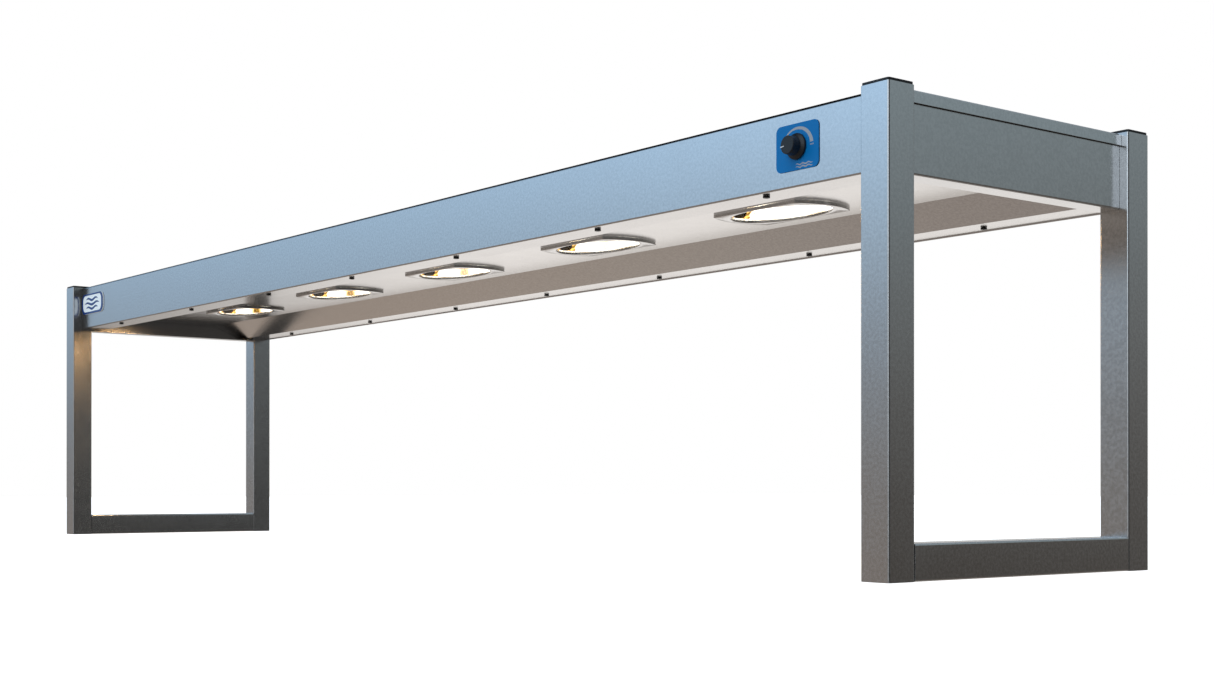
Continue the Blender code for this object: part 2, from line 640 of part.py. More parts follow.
def make_knob(nut_back, bushing_front, shaft_front):
    """A turned knob with a flared skirt, hollow behind so that it clears the nut."""
    back = nut_back - GAP
    height = back - KNOB_FRONT
    recess = back - bushing_front + 0.0006
    bore_r = SHAFT_R + GAP
    profile = [(0.0, height), (KNOB_FACE_R - 0.0006, height), (KNOB_FACE_R, height - 0.0006),
               (KNOB_BODY_R, 0.0042), (KNOB_BODY_R + 0.0006, 0.0036), (KNOB_SKIRT_R - 0.0004, 0.0020),
               (KNOB_SKIRT_R, 0.0014), (KNOB_SKIRT_R, 0.0),
               (0.0086, 0.0), (0.0086, recess), (bore_r, recess),
               (bore_r, back - shaft_front + GAP), (0.0, back - shaft_front + GAP)]
    turned("dimmer_knob", profile, 40, KNOB_BLACK, facing_front(KNOB_X, back, KNOB_Z))

    front = KNOB_FRONT
    bar_length = 0.0048
    bar = box("knob_pointer", (-KNOB_FACE_R - 0.0001, front, -0.0005),
              (-KNOB_FACE_R + bar_length, front + 0.0012, 0.0005), WHITE_PAINT)
    bar.matrix_world = Matrix.Translation((KNOB_X, 0.0, KNOB_Z)) @ Matrix.Rotation(POINTER_TILT, 4, "Y")
    slot = box("pointer_slot", (-KNOB_FACE_R - 0.003, front - 0.003, -0.0008),
               (-KNOB_FACE_R + bar_length + GAP, front + 0.0015, 0.0008))
    slot.matrix_world = bar.matrix_world.copy()
    cut(bpy.data.objects["dimmer_knob"], slot)


def make_badge():
    back = PANEL_FRONT - GAP
    rounded_plate("badge", *BADGE_CENTRE, BADGE_SIZE, BADGE_CORNER, back - BADGE_THICKNESS, back,
                  BADGE_WHITE)


def make_electrics():
    """The cable entry and the wiring that stays inside the housing, on top of the tray."""
    floor = TRAY_TOP + GAP
    mid_y = PANEL_REAR - SHEET / 2
    half = SHEET / 2 + GAP
    lip = 0.0022
    ring = [(0.0122, half + lip), (0.0062, half + lip), (0.0062, -half - lip), (0.0122, -half - lip),
            (0.0122, -half), (0.0091, -half), (0.0091, half), (0.0122, half), (0.0122, half + lip)]
    turned("cable_grommet", list(reversed(ring)), 24, RUBBER, facing_front(GROMMET_X, mid_y, GROMMET_Z))

    block = box("terminal_block", (0.842, 0.020, floor), (0.862, 0.078, floor + 0.018), CERAMIC)
    lugs = box("terminal_slots", (0.846, 0.024, floor + 0.012), (0.858, 0.074, floor + 0.03))
    cut(block, lugs)

    curve = bpy.data.curves.new("wiring_loom", "CURVE")
    curve.dimensions = "3D"
    curve.bevel_depth = 0.003
    curve.bevel_resolution = 2
    curve.use_fill_caps = True
    route = curve.splines.new("POLY")
    wire_y = 0.070
    wire_z = floor + 0.0035
    steps = 24
    route.points.add(steps)
    for i, point in enumerate(route.points):
        x = 0.835 - i * (0.835 + 0.640) / steps
        point.co = (x, wire_y + 0.002 * math.sin(i * 1.1), wire_z, 1.0)
    as_mesh(add_object("wiring_route", curve), "wiring_loom", RED_SILICONE)


# ---------------------------------------------------------------------------------------------
# Build
# ---------------------------------------------------------------------------------------------
make_end_frames()
make_long_panels()
make_end_panels()
make_top_cover()
make_lamp_tray()
make_screw_row("tray_screws_front", SCREW_FRONT_Y)
make_screw_row("tray_screws_rear", SCREW_REAR_Y)
for lamp, lamp_x in enumerate(LAMP_XS, start=1):
    make_bezel(lamp, lamp_x)
    make_glass(lamp, lamp_x)
    make_reflector(lamp, lamp_x)
    make_halogen_tube(lamp, lamp_x)
    make_lamp_holder(lamp, lamp_x)
make_dimmer()
make_badge()
make_electrics()
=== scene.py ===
"""Looks of the heated gantry: finishes, lamps, dial print, badge, studio light and camera."""

import math

import bmesh
import bpy
from mathutils import Matrix, Vector


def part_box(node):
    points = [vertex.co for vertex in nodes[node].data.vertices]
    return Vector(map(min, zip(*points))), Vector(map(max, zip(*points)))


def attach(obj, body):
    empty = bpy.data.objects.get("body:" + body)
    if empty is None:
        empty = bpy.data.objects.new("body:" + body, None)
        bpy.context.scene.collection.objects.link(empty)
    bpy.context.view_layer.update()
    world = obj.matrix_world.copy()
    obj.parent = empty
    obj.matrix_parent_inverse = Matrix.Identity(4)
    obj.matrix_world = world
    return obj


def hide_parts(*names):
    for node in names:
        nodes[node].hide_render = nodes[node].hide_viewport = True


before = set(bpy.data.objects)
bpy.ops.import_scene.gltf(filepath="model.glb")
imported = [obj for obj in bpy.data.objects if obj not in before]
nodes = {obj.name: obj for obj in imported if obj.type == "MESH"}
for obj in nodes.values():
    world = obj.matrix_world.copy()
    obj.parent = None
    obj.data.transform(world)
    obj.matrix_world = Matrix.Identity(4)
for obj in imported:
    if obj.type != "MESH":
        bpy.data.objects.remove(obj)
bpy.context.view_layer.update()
GANTRY = "gantry"
LAMPS = range(1, 6)

scene = bpy.context.scene
scene.view_settings.view_transform = "Standard"
scene.view_settings.look = "None"
scene.view_settings.exposure = 0.0
scene.view_settings.gamma = 1.0


# ---------------------------------------------------------------------------------------------
# Camera: level and low, off the front right corner, with the lens shifted up
# ---------------------------------------------------------------------------------------------
camera = bpy.data.objects.new("camera", bpy.data.cameras.new("camera"))
scene.collection.objects.link(camera)
camera.location = (2.0429, -1.3231, 0.08616)
camera.rotation_euler = (math.pi / 2 + 0.002371, 0.0, 0.907016)
camera.data.sensor_width = 36.0
camera.data.lens = 49.96
camera.data.shift_y = 0.11745
camera.data.clip_start = 0.05
scene.camera = camera


# ---------------------------------------------------------------------------------------------
# Node helpers
# ---------------------------------------------------------------------------------------------
class Nodes:
    """A short way to write a node tree."""

    def __init__(self, tree):
        self.tree = tree

    def add(self, kind, **settings):
        node = self.tree.nodes.new(kind)
        for key, value in settings.items():
            setattr(node, key, value)
        return node

    def link(self, source, target):
        self.tree.links.new(source, target)
        return target

    def feed(self, socket, value):
        if isinstance(value, bpy.types.NodeSocket):
            self.link(value, socket)
        else:
            socket.default_value = value

    def math(self, operation, a, b=0.0):
        node = self.add("ShaderNodeMath", operation=operation)
        self.feed(node.inputs[0], a)
        self.feed(node.inputs[1], b)
        return node.outputs[0]

    def ramp(self, value, low, high, to_low=0.0, to_high=1.0, smooth=True):
        node = self.add("ShaderNodeMapRange", interpolation_type="SMOOTHSTEP" if smooth else "LINEAR")
        self.feed(node.inputs["Value"], value)
        node.inputs["From Min"].default_value = low
        node.inputs["From Max"].default_value = high
        node.inputs["To Min"].default_value = to_low
        node.inputs["To Max"].default_value = to_high
        return node.outputs["Result"]

    def mix(self, factor, a, b):
        node = self.add("ShaderNodeMix", data_type="RGBA")
        self.feed(node.inputs[0], factor)
        self.feed(node.inputs[6], a if isinstance(a, bpy.types.NodeSocket) else (*a, 1.0))
        self.feed(node.inputs[7], b if isinstance(b, bpy.types.NodeSocket) else (*b, 1.0))
        return node.outputs[2]

    def noise(self, coords, scale, detail, roughness):
        node = self.add("ShaderNodeTexNoise")
        node.inputs["Scale"].default_value = scale
        node.inputs["Detail"].default_value = detail
        node.inputs["Roughness"].default_value = roughness
        self.link(coords, node.inputs["Vector"])
        return node.outputs["Fac"]


def new_material(name):
    """A material with its tree, its shader and the object coordinates, in metres."""
    made = bpy.data.materials.new(name)
    made.use_nodes = True
    tree = Nodes(made.node_tree)
    shader = made.node_tree.nodes["Principled BSDF"]
    coords = tree.add("ShaderNodeTexCoord").outputs["Object"]
    return made, tree, shader, coords


def bump(tree, shader, height, strength, distance):
    node = tree.add("ShaderNodeBump")
    node.inputs["Strength"].default_value = strength
    node.inputs["Distance"].default_value = distance
    tree.link(height, node.inputs["Height"])
    tree.link(node.outputs["Normal"], shader.inputs["Normal"])


def steel(name, colour, roughness, spread=0.03, grain=330.0, depth=0.000010, tone=0.07):
    """Satin stainless steel with a fine even grain, as bead-blasted or scotch-finished sheet."""
    made, tree, shader, coords = new_material(name)
    shader.inputs["Metallic"].default_value = 1.0
    fine = tree.noise(coords, grain, 2.0, 0.55)
    broad = tree.noise(coords, 26.0, 2.0, 0.5)
    low = tuple(c * (1.0 - tone) for c in colour)
    high = tuple(min(1.0, c * (1.0 + tone)) for c in colour)
    tree.feed(shader.inputs["Base Color"], tree.mix(tree.ramp(fine, 0.3, 0.7), low, high))
    rough = tree.math("ADD", tree.ramp(fine, 0.25, 0.75, roughness - spread, roughness + spread, False),
                      tree.ramp(broad, 0.3, 0.7, -0.012, 0.012, False))
    tree.link(rough, shader.inputs["Roughness"])
    bump(tree, shader, fine, 1.0, depth)
    return made


def plastic(name, colour, roughness, grain=900.0, depth=0.00003, tone=0.12, light=0.0):
    """Moulded plastic or paint with a fine texture, and with a painted glow of the given strength where
    light is set.
    """
    made, tree, shader, coords = new_material(name)
    fine = tree.noise(coords, grain, 2.0, 0.5)
    low = tuple(c * (1.0 - tone) for c in colour)
    high = tuple(c * (1.0 + tone) for c in colour)
    tree.feed(shader.inputs["Base Color"], tree.mix(fine, low, high))
    tree.link(tree.ramp(fine, 0.2, 0.8, roughness - 0.05, roughness + 0.05, False),
              shader.inputs["Roughness"])
    if light:
        glow(tree, shader, tree.mix(fine, low, high), light)
    bump(tree, shader, fine, 1.0, depth)
    return made


def glow(tree, shader, colour, strength):
    tree.feed(shader.inputs["Emission Color"], colour)
    tree.feed(shader.inputs["Emission Strength"], strength)


FOLD_SHADE_SPAN = (-0.9, 0.9)     # x, between which the strength of the fold's painted shade changes


def painted_fold_shade(made, low, high, kept_left, kept_right):
    """Paint shade into a steel's colour from one height up to another and above, as the shade along the
    front panel's top fold.

    The last two are the shares of its colour that it keeps at the left and right ends.
    """
    tree = Nodes(made.node_tree)
    colour = made.node_tree.nodes["Principled BSDF"].inputs["Base Color"]
    plain = colour.links[0].from_socket
    split = tree.add("ShaderNodeSeparateXYZ")
    tree.link(tree.add("ShaderNodeTexCoord").outputs["Object"], split.inputs[0])
    line = tree.ramp(split.outputs[2], low, high)
    shade = tree.ramp(split.outputs[0], *FOLD_SHADE_SPAN, 1.0 - kept_left, 1.0 - kept_right, False)
    tree.link(tree.mix(tree.math("MULTIPLY", line, shade), plain, (0.0, 0.0, 0.0)), colour)
    return made


def steel_with_painted_glow(name, colour, roughness, light, fade):
    """Steel with a painted glow that stands for the lamps' light it scatters, fading out between two
    places along the piece.
    """
    made = steel(name, colour, roughness, spread=0.02)
    tree = Nodes(made.node_tree)
    split = tree.add("ShaderNodeSeparateXYZ")
    tree.link(tree.add("ShaderNodeTexCoord").outputs["Object"], split.inputs[0])
    glow(tree, made.node_tree.nodes["Principled BSDF"], (*light, 1.0), tree.ramp(split.outputs[0], *fade))
    return made


# ---------------------------------------------------------------------------------------------
# Finishes
# ---------------------------------------------------------------------------------------------
SATIN = (0.60, 0.60, 0.60)
HOUSING = steel("housing_satin_steel", SATIN, 0.21)
# The front panel's steel has painted shade along its top fold, darkest at the right end.
FRONT = painted_fold_shade(steel("front_satin_steel", SATIN, 0.21), low=0.4462, high=0.4468, kept_left=0.36,
                  kept_right=0.05)
FRAME = steel("frame_satin_steel", SATIN, 0.21)
TRAY = steel("tray_satin_steel", (0.60, 0.59, 0.58), 0.20, spread=0.02)
# The tray's flat sheet has a painted glow for the lamps' scattered light, fading out towards the left.
PANEL = steel_with_painted_glow("tray_panel_lit", (0.53, 0.52, 0.51), 0.20, light=(0.10, 0.095, 0.09),
                  fade=(-0.70, 0.25))
BEZEL = steel("bezel_satin_steel", (0.66, 0.66, 0.66), 0.20, spread=0.02)
BLACK = plastic("cap_black_plastic", (0.006, 0.007, 0.008), 0.50)
KNOB_BLACK = plastic("knob_black_plastic", (0.008, 0.010, 0.013), 0.42)
SCREW = plastic("screw_black", (0.012, 0.012, 0.013), 0.38, depth=0.00001)
DIAL_BLUE = plastic("dial_blue_film", (0.001, 0.225, 0.620), 0.45, depth=0.00001, tone=0.04)
DIAL_BLUE.node_tree.nodes["Principled BSDF"].inputs["Specular IOR Level"].default_value = 0.2
DIAL_PALE = plastic("dial_pale_print", (0.50, 0.52, 0.56), 0.45, depth=0.00001, tone=0.03)
POINTER = plastic("pointer_white", (0.85, 0.88, 0.92), 0.40, depth=0.00001, tone=0.03)
# The badge's white enamel has a painted glow that makes it brighter.
BADGE_WHITE = plastic("badge_white_enamel", (0.90, 0.97, 1.0), 0.22, depth=0.00001, tone=0.02,
                      light=0.24)
BADGE_BLUE = plastic("badge_blue_enamel", (0.014, 0.060, 0.27), 0.22, depth=0.00001, tone=0.05)
RUBBER = plastic("grommet_rubber", (0.018, 0.018, 0.019), 0.62)
CERAMIC = plastic("socket_ceramic", (0.62, 0.60, 0.55), 0.50)
GREY = plastic("dimmer_grey_plastic", (0.24, 0.25, 0.26), 0.48)
SLEEVE = plastic("wire_silicone", (0.30, 0.045, 0.03), 0.50)
BRASS = steel("plated_brass", (0.62, 0.58, 0.48), 0.26)


def make_glass():
    """Clear glass with an anti-glare surface, which mirrors almost nothing at a low angle."""
    made, tree, shader, coords = new_material("lamp_glass_clear")
    shader.inputs["Base Color"].default_value = (0.97, 0.98, 0.99, 1.0)
    shader.inputs["Transmission Weight"].default_value = 1.0
    shader.inputs["IOR"].default_value = 1.006
    waves = tree.noise(coords, 60.0, 1.0, 0.4)
    tree.link(tree.ramp(waves, 0.2, 0.8, 0.0, 0.02, False), shader.inputs["Roughness"])
    return made


# The painted light and painted shade on a lit lamp's reflector, whose glow stands for the lamp's
# light on its wall. Places round its wall are given by the x of the direction from its middle, from
# -1 at its left tip to 1 at its right tip. In each pair the pattern starts at the first number and
# is full at the second.
bowl_low, bowl_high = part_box("reflector_1")
BOWL_SQUASH = (bowl_high.y - bowl_low.y) / (bowl_high.x - bowl_low.x)
# The amber tips and band are painted light, and the dark wedge is painted shade.
LEFT_TIP = (-0.90, -0.95)
RIGHT_TIP = (0.970, 0.990)
BAND_AT = -0.43
BAND_REACH = (0.27, 0.07)
BAND_CORE = (0.12, 0.02)
BAND_CORE_KEPT = 0.35       # share of its light that the band's core keeps
BAND_BY_LAMP = (0.80, -0.50, 0.12, 1.0)     # two places of a lamp, then the band's strength there
WEDGE_RISE = (0.0005, 0.0060, 0.0, 0.24)    # height over the mouth, then half the wedge's width
WEDGE_EDGE = 0.03
WEDGE_SIDE = (0.0, -0.5)    # the wedge is in the left half only
WOBBLE = 0.16               # how ragged the pattern's edges are
# Colours and strength of the painted glow, which stands for the lamp's light on the wall.
BOWL_WHITE = (1.0, 0.94, 0.82)
BOWL_AMBER = (1.0, 0.52, 0.10)
BOWL_STRENGTH = 4.0
AMBER_SPOTS = (0.42, 0.60, 0.45, 2.4)       # two values of noise, then the amber's strength there


def make_reflector_painted_light():
    """A lit lamp's reflector with painted light: a white glow, amber tips, an amber band, and a dark
    wedge of painted shade.
    """
    made, tree, shader, coords = new_material("reflector_lit")
    shader.inputs["Metallic"].default_value = 1.0
    shader.inputs["Roughness"].default_value = 0.18
    split = tree.add("ShaderNodeSeparateXYZ")
    tree.link(coords, split.inputs[0])
    x, y, z = split.outputs
    flat = tree.add("ShaderNodeCombineXYZ")
    tree.link(x, flat.inputs[0])
    tree.link(tree.math("DIVIDE", y, BOWL_SQUASH), flat.inputs[1])
    round_wall = tree.add("ShaderNodeVectorMath", operation="NORMALIZE")
    tree.link(flat.outputs[0], round_wall.inputs[0])
    along = tree.add("ShaderNodeSeparateXYZ")
    tree.link(round_wall.outputs[0], along.inputs[0])
    toward_x, toward_y = along.outputs[0], along.outputs[1]
    mottle = tree.noise(coords, 130.0, 2.0, 0.6)
    wobble = tree.math("MULTIPLY", tree.math("SUBTRACT", mottle, 0.5), WOBBLE)
    left = tree.ramp(tree.math("ADD", toward_x, wobble), *LEFT_TIP)
    right = tree.ramp(tree.math("ADD", toward_x, tree.math("MULTIPLY", wobble, 0.2)), *RIGHT_TIP)
    lamp_place = tree.add("ShaderNodeSeparateXYZ")
    tree.link(tree.add("ShaderNodeObjectInfo").outputs["Location"], lamp_place.inputs[0])
    from_band = tree.math("ABSOLUTE", tree.math("SUBTRACT", toward_x, BAND_AT))
    band = tree.math("MULTIPLY", tree.ramp(from_band, *BAND_REACH),
                     tree.ramp(lamp_place.outputs[0], *BAND_BY_LAMP, False))
    amber = tree.math("MAXIMUM", tree.math("MAXIMUM", left, right), band)
    wedge = tree.ramp(z, *WEDGE_RISE, False)
    off_centre = tree.math("ABSOLUTE", tree.math("ADD", toward_y, tree.math("MULTIPLY", wobble, 0.4)))
    shade = tree.math("MULTIPLY", tree.ramp(tree.math("SUBTRACT", wedge, off_centre), 0.0, WEDGE_EDGE),
                      tree.ramp(toward_x, *WEDGE_SIDE))
    spots = tree.ramp(tree.noise(coords, 260.0, 1.0, 0.5), *AMBER_SPOTS)
    colour = tree.mix(amber, BOWL_WHITE, BOWL_AMBER)
    strength = tree.mix(amber, (BOWL_STRENGTH, BOWL_STRENGTH, BOWL_STRENGTH), spots)
    core = tree.math("MULTIPLY", tree.ramp(from_band, *BAND_CORE), band)
    strength = tree.math("MULTIPLY", strength, tree.ramp(core, 0.0, 1.0, 1.0, BAND_CORE_KEPT, False))
    strength = tree.math("MULTIPLY", strength, tree.ramp(shade, 0.0, 1.0, 1.0, 0.01, False))
    glow(tree, shader, colour, strength)
    # The base colour follows the same painted pattern: darker where the amber is, near black in the
    # wedge's painted shade.
    dark_ends = tree.mix(amber, (0.30, 0.28, 0.25), (0.08, 0.05, 0.02))
    tree.feed(shader.inputs["Base Color"], tree.mix(shade, dark_ends, (0.004, 0.004, 0.004)))
    bump(tree, shader, tree.noise(coords, 160.0, 1.0, 0.5), 1.0, 0.0004)
    return made


def make_quartz():
    """A lit halogen tube."""
    made, tree, shader, coords = new_material("halogen_quartz_lit")
    shader.inputs["Base Color"].default_value = (1.0, 0.9, 0.7, 1.0)
    shader.inputs["Roughness"].default_value = 0.1
    coil = tree.noise(coords, 300.0, 1.0, 0.5)
    glow(tree, shader, tree.mix(coil, (1.0, 0.80, 0.45), (1.0, 0.92, 0.75)), 14.0)
    return made


GLASS = make_glass()
REFLECTOR = make_reflector_painted_light()
QUARTZ = make_quartz()


# ---------------------------------------------------------------------------------------------
# Geometry helpers
# ---------------------------------------------------------------------------------------------
def link(name, mesh, finish, body, replaced=()):
    """Put a mesh in the scene with its finish and body, and hide the CAD nodes it stands for."""
    made = bpy.data.objects.new(name, mesh)
    scene.collection.objects.link(made)
    mesh.materials.clear()
    mesh.materials.append(finish)
    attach(made, body)
    if replaced:
        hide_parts(*replaced)
    return made


def smooth(mesh, degrees):
    """Shade a mesh smooth, but for the edges that fold more than this."""
    for polygon in mesh.polygons:
        polygon.use_smooth = True
    mesh.set_sharp_from_angle(angle=math.radians(degrees))


def paint(node, finish):
    """Give a CAD node its finish."""
    thing = nodes[node]
    if not thing.material_slots:
        thing.data.materials.append(finish)
    for used in thing.material_slots:
        used.material = finish


MERGE = 0.000005            # how near two corners of a CAD mesh are one
FLAT = math.radians(1.0)    # an edge with a smaller fold is dissolved
HARD = math.radians(30.0)   # an edge with a larger fold may be rounded


def refine(node, name, finish, body, width=0.0):
    """The CAD node's own shape, shaded smooth, with its hard edges rounded where width says so."""
    bm = bmesh.new()
    bm.from_mesh(nodes[node].data)
    bmesh.ops.remove_doubles(bm, verts=bm.verts, dist=MERGE)
    bmesh.ops.dissolve_limit(bm, angle_limit=FLAT, verts=bm.verts, edges=bm.edges)
    bm.normal_update()
    if width:
        hard = [e for e in bm.edges if len(e.link_faces) == 2 and e.calc_face_angle(0.0) > HARD]
        bmesh.ops.bevel(bm, geom=hard, offset=width, segments=2, profile=0.5, affect="EDGES",
                        clamp_overlap=True)
    mesh = bpy.data.meshes.new(name)
    bm.to_mesh(mesh)
    bm.free()
    smooth(mesh, 42.0)
    made = link(name, mesh, finish, body, (node,))
    even = made.modifiers.new("even_normals", "WEIGHTED_NORMAL")
    even.keep_sharp = True
    even.weight = 100


def prism(name, outline, y_front, y_back, finish, body, hole=None):
    """A thin flat piece in the XZ plane, from an outline of (x, z) and, for a ring, its hole."""
    bm = bmesh.new()

    def loop(points, y):
        return [bm.verts.new((px, y, pz)) for px, pz in points]

    front, back = loop(outline, y_front), loop(outline, y_back)
    count = len(outline)

    def wall(a, b):
        for i in range(count):
            j = (i + 1) % count
            bm.faces.new((a[i], a[j], b[j], b[i]))

    wall(front, back)
    if hole is None:
        bm.faces.new(front)
        bm.faces.new(back)
    else:
        inner_front, inner_back = loop(hole, y_front), loop(hole, y_back)
        wall(inner_front, inner_back)
        wall(front, inner_front)
        wall(back, inner_back)
    bmesh.ops.recalc_face_normals(bm, faces=bm.faces)
    mesh = bpy.data.meshes.new(name)
    bm.to_mesh(mesh)
    bm.free()
    link(name, mesh, finish, body)


def rounded_outline(x, z, width, height, radius, steps=8):
    """A rectangle's outline with round corners, as (x, z)."""
    points = []
    for sx, sz, start in ((1, 1, 0), (-1, 1, 90), (-1, -1, 180), (1, -1, 270)):
        cx = x + sx * (width / 2 - radius)
        cz = z + sz * (height / 2 - radius)
        for i in range(steps + 1):
            angle = math.radians(start + 90.0 * i / steps)
            points.append((cx + radius * math.cos(angle), cz + radius * math.sin(angle)))
    return points


def ellipse(centre, half_x, half_y, z, angles):
    """A level ring of points round a centre."""
    return [(centre.x + half_x * math.cos(a), centre.y + half_y * math.sin(a), z) for a in angles]


def full_turn(steps):
    return [2 * math.pi * k / steps for k in range(steps)]


def rings_mesh(name, rings, close_top=False, close_bottom=False, join_ends=False, degrees=35.0):
    """A mesh lofted through closed rings of points, whose last ring may join its first."""
    bm = bmesh.new()
    rows = [[bm.verts.new(p) for p in ring] for ring in rings]
    count = len(rings[0])
    pairs = list(zip(rows, rows[1:]))
    if join_ends:
        pairs.append((rows[-1], rows[0]))
    for a, b in pairs:
        for i in range(count):
            j = (i + 1) % count
            bm.faces.new((a[i], a[j], b[j], b[i]))
    if close_bottom:
        bm.faces.new(rows[0])
    if close_top:
        bm.faces.new(rows[-1])
    bmesh.ops.recalc_face_normals(bm, faces=bm.faces)
    mesh = bpy.data.meshes.new(name)
    bm.to_mesh(mesh)
    bm.free()
    smooth(mesh, degrees)
    return mesh


# ---------------------------------------------------------------------------------------------
# Frame and housing
# ---------------------------------------------------------------------------------------------
for side in ("front_right", "front_left", "rear_right", "rear_left"):
    refine("leg_" + side, "post_" + side, FRAME, GANTRY)
    paint("foot_plug_" + side, BLACK)
    refine("leg_cap_" + side, "cap_" + side, BLACK, GANTRY, 0.0004)
for end in ("right", "left"):
    refine("base_rail_" + end, "rail_" + end, FRAME, GANTRY)
    refine("end_panel_" + end, "end_plate_" + end, HOUSING, GANTRY)
for node, finish in (("front_panel", FRONT), ("rear_panel", HOUSING), ("top_cover", HOUSING)):
    refine(node, "housing_" + node, finish, GANTRY)
for node, finish in (("lamp_tray", PANEL), ("tray_side_front", TRAY), ("tray_side_rear", TRAY)):
    refine(node, "sheet_" + node, finish, GANTRY)


# ---------------------------------------------------------------------------------------------
# Screws
# ---------------------------------------------------------------------------------------------
SCREW_XS = (-0.830, -0.537, -0.262, -0.011, 0.254, 0.5455, 0.820)
HEAD_RADIUS = 0.0036
HEAD_HEIGHT = 0.0021
HEAD_EDGE = 0.0003          # worn edge of a head
RECESS_RADIUS = 0.0018
RECESS_FOOT = 0.0017
RECESS_DEPTH = 0.0011


def make_screws(row, name):
    """Cheese heads with a round recess, where the row's plain heads are."""
    low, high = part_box(row)
    bottom = low.z
    profile = [(HEAD_RADIUS, bottom + HEAD_HEIGHT), (HEAD_RADIUS, bottom + HEAD_EDGE),
               (HEAD_RADIUS - HEAD_EDGE, bottom), (RECESS_RADIUS, bottom),
               (RECESS_FOOT, bottom + RECESS_DEPTH)]
    for i, x in enumerate(SCREW_XS):
        centre = Vector((x, (low.y + high.y) / 2, 0.0))
        rings = [ellipse(centre, r, r, z, full_turn(32)) for r, z in profile]
        screw = "%s_%d" % (name, i + 1)
        mesh = rings_mesh(screw, rings, close_bottom=True, close_top=True)
        link(screw, mesh, SCREW, GANTRY, (row,) if i == 0 else ())


make_screws("tray_screws_front", "screw_front")
make_screws("tray_screws_rear", "screw_rear")


# ---------------------------------------------------------------------------------------------
# Lamps
# ---------------------------------------------------------------------------------------------
MOUTH = (0.0712, 0.0403)    # half length and half depth of a bezel's oval mouth
# The bezel's outer wall from its top down, with a fine groove and a rounded lower edge: how far
# it steps in, and how far under the top. Then the mouth's wall from its underside up: how far the
# mouth grows, and how far over the underside.
BEZEL_WALL = ((0.0, 0.0), (0.0, 0.0011), (0.0005, 0.0014), (0.0005, 0.0018), (0.0, 0.0021))
BEZEL_FOOT = ((0.0, 0.0006), (0.0002, 0.0002), (0.0007, 0.0))
MOUTH_FOOT = ((0.0010, 0.0), (0.0004, 0.0002), (0.0, 0.0007))
GLASS_EDGE = 0.0006


def cut_disc(half_length, half_depth, steps=72):
    """Angles and radii of a disc whose front and rear are cut straight, corners included."""
    corner = math.asin(half_depth / half_length)
    angles = full_turn(steps) + [corner, math.pi - corner, math.pi + corner, 2 * math.pi - corner]
    angles = sorted(set(round(a, 5) for a in angles))
    radii = [min(half_length, half_depth / max(1e-6, abs(math.sin(a)))) for a in angles]
    return angles, radii


def make_bezel(number):
    """A lamp's bezel with a fine groove and an oval mouth. It gives back the bezel's middle."""
    low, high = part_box("bezel_%d" % number)
    centre = (low + high) / 2
    angles, radii = cut_disc((high.x - low.x) / 2, (high.y - low.y) / 2)
    mouth_x, mouth_y = MOUTH
    top = (high.z - low.z) / 2
    wall = [(inset, top - down) for inset, down in BEZEL_WALL]
    wall += [(inset, up - top) for inset, up in BEZEL_FOOT]
    rings = [[((r - inset) * math.cos(a), (r - inset) * math.sin(a), z) for a, r in zip(angles, radii)]
             for inset, z in wall]
    for grow, z in [(grow, up - top) for grow, up in MOUTH_FOOT] + [(0.0, top)]:
        rings.append(ellipse(Vector(), mouth_x + grow, mouth_y + grow, z, angles))
    mesh = rings_mesh("lamp_bezel_%d" % number, rings, join_ends=True, degrees=40.0)
    mesh.transform(Matrix.Translation(centre))
    link("lamp_bezel_%d" % number, mesh, BEZEL, GANTRY, ("bezel_%d" % number,))
    return centre


def make_lamp(number):
    """A lamp's bezel, glass and reflector, and the finishes of what is behind them."""
    centre = make_bezel(number)
    low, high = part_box("lamp_glass_%d" % number)
    half_x = (high.x - low.x) / 2
    half_y = (high.y - low.y) / 2
    rings = [ellipse(centre, half_x - shrink, half_y - shrink, z, full_turn(72))
             for shrink, z in ((GLASS_EDGE, low.z), (0.0, low.z + GLASS_EDGE), (0.0, high.z - GLASS_EDGE),
                               (GLASS_EDGE, high.z))]
    mesh = rings_mesh("glass_%d" % number, rings, close_top=True, close_bottom=True)
    link("glass_%d" % number, mesh, GLASS, GANTRY, ("lamp_glass_%d" % number,))

    make_reflector(number, centre)
    paint("halogen_tube_%d" % number, QUARTZ)
    paint("lamp_holder_%d" % number, CERAMIC)


BOWL_SHEET = 0.0006
# The bowl from its rim inward: radius, and height over the rim, then radius, and how far under
# the bowl's peak.
BOWL_WALL = ((0.0790, 0.0), (0.0722, 0.0), (0.0708, 0.0030), (0.0680, 0.0085), (0.0640, 0.0150),
             (0.0590, 0.0210), (0.0520, 0.0270))
BOWL_CROWN = ((0.0430, 0.0050), (0.0330, 0.0022), (0.0200, 0.0007), (0.0080, 0.0))


def make_reflector(number, centre):
    """A smooth oval bowl with a rim, open downward, as one sheet."""
    low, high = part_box("reflector_%d" % number)
    squash = (high.y - low.y) / (high.x - low.x)
    rim = low.z + BOWL_SHEET - centre.z
    peak = high.z - BOWL_SHEET - centre.z
    profile = [(r, rim + up) for r, up in BOWL_WALL] + [(r, peak - down) for r, down in BOWL_CROWN]
    rings = [ellipse(Vector(), r, r * squash, z, full_turn(64)) for r, z in profile]
    mesh = rings_mesh("bowl_%d" % number, rings, close_top=True, degrees=50.0)
    made = bpy.data.objects.new("bowl_%d" % number, mesh)
    scene.collection.objects.link(made)
    made.location = centre
    mesh.materials.append(REFLECTOR)
    sheet = made.modifiers.new("sheet", "SOLIDIFY")
    sheet.thickness = BOWL_SHEET
    sheet.offset = 0.0
    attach(made, GANTRY)
    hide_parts("reflector_%d" % number)


for lamp in LAMPS:
    make_lamp(lamp)


